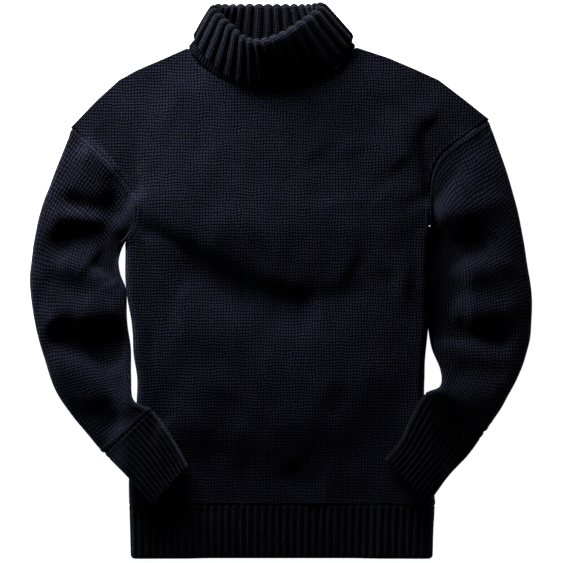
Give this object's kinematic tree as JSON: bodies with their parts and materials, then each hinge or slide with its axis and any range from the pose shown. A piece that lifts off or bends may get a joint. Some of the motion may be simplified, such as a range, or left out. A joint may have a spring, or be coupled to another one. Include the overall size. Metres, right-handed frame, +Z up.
{
  "type": "submariner sweater",
  "caption": "Heavy knitted roll-neck sweater laid flat, with its sides tucked under, its sleeves bent and its ribbed cuffs lying on the front of the welt.",
  "frame": {"origin": "middle of the garment's outline on the surface that it lies on", "axes": "+X towards the wearer's left sleeve, +Y from the welt to the collar, +Z up from the surface, out of the garment's front"},
  "size_m": [0.7052, 0.7759, 0.0393],
  "materials": {
    "plain_knit": "matt navy wool in plain knit",
    "ribbed_knit": "matt navy wool in two-by-two rib"
  },
  "bodies": {
    "root": {"front_body": "plain_knit", "back_body": "plain_knit", "sleeve_right": "plain_knit", "sleeve_left": "plain_knit", "hem_front": "ribbed_knit", "hem_back": "ribbed_knit", "cuff_right": "ribbed_knit", "cuff_left": "ribbed_knit", "collar": "ribbed_knit"}
  },
  "joints": []
}
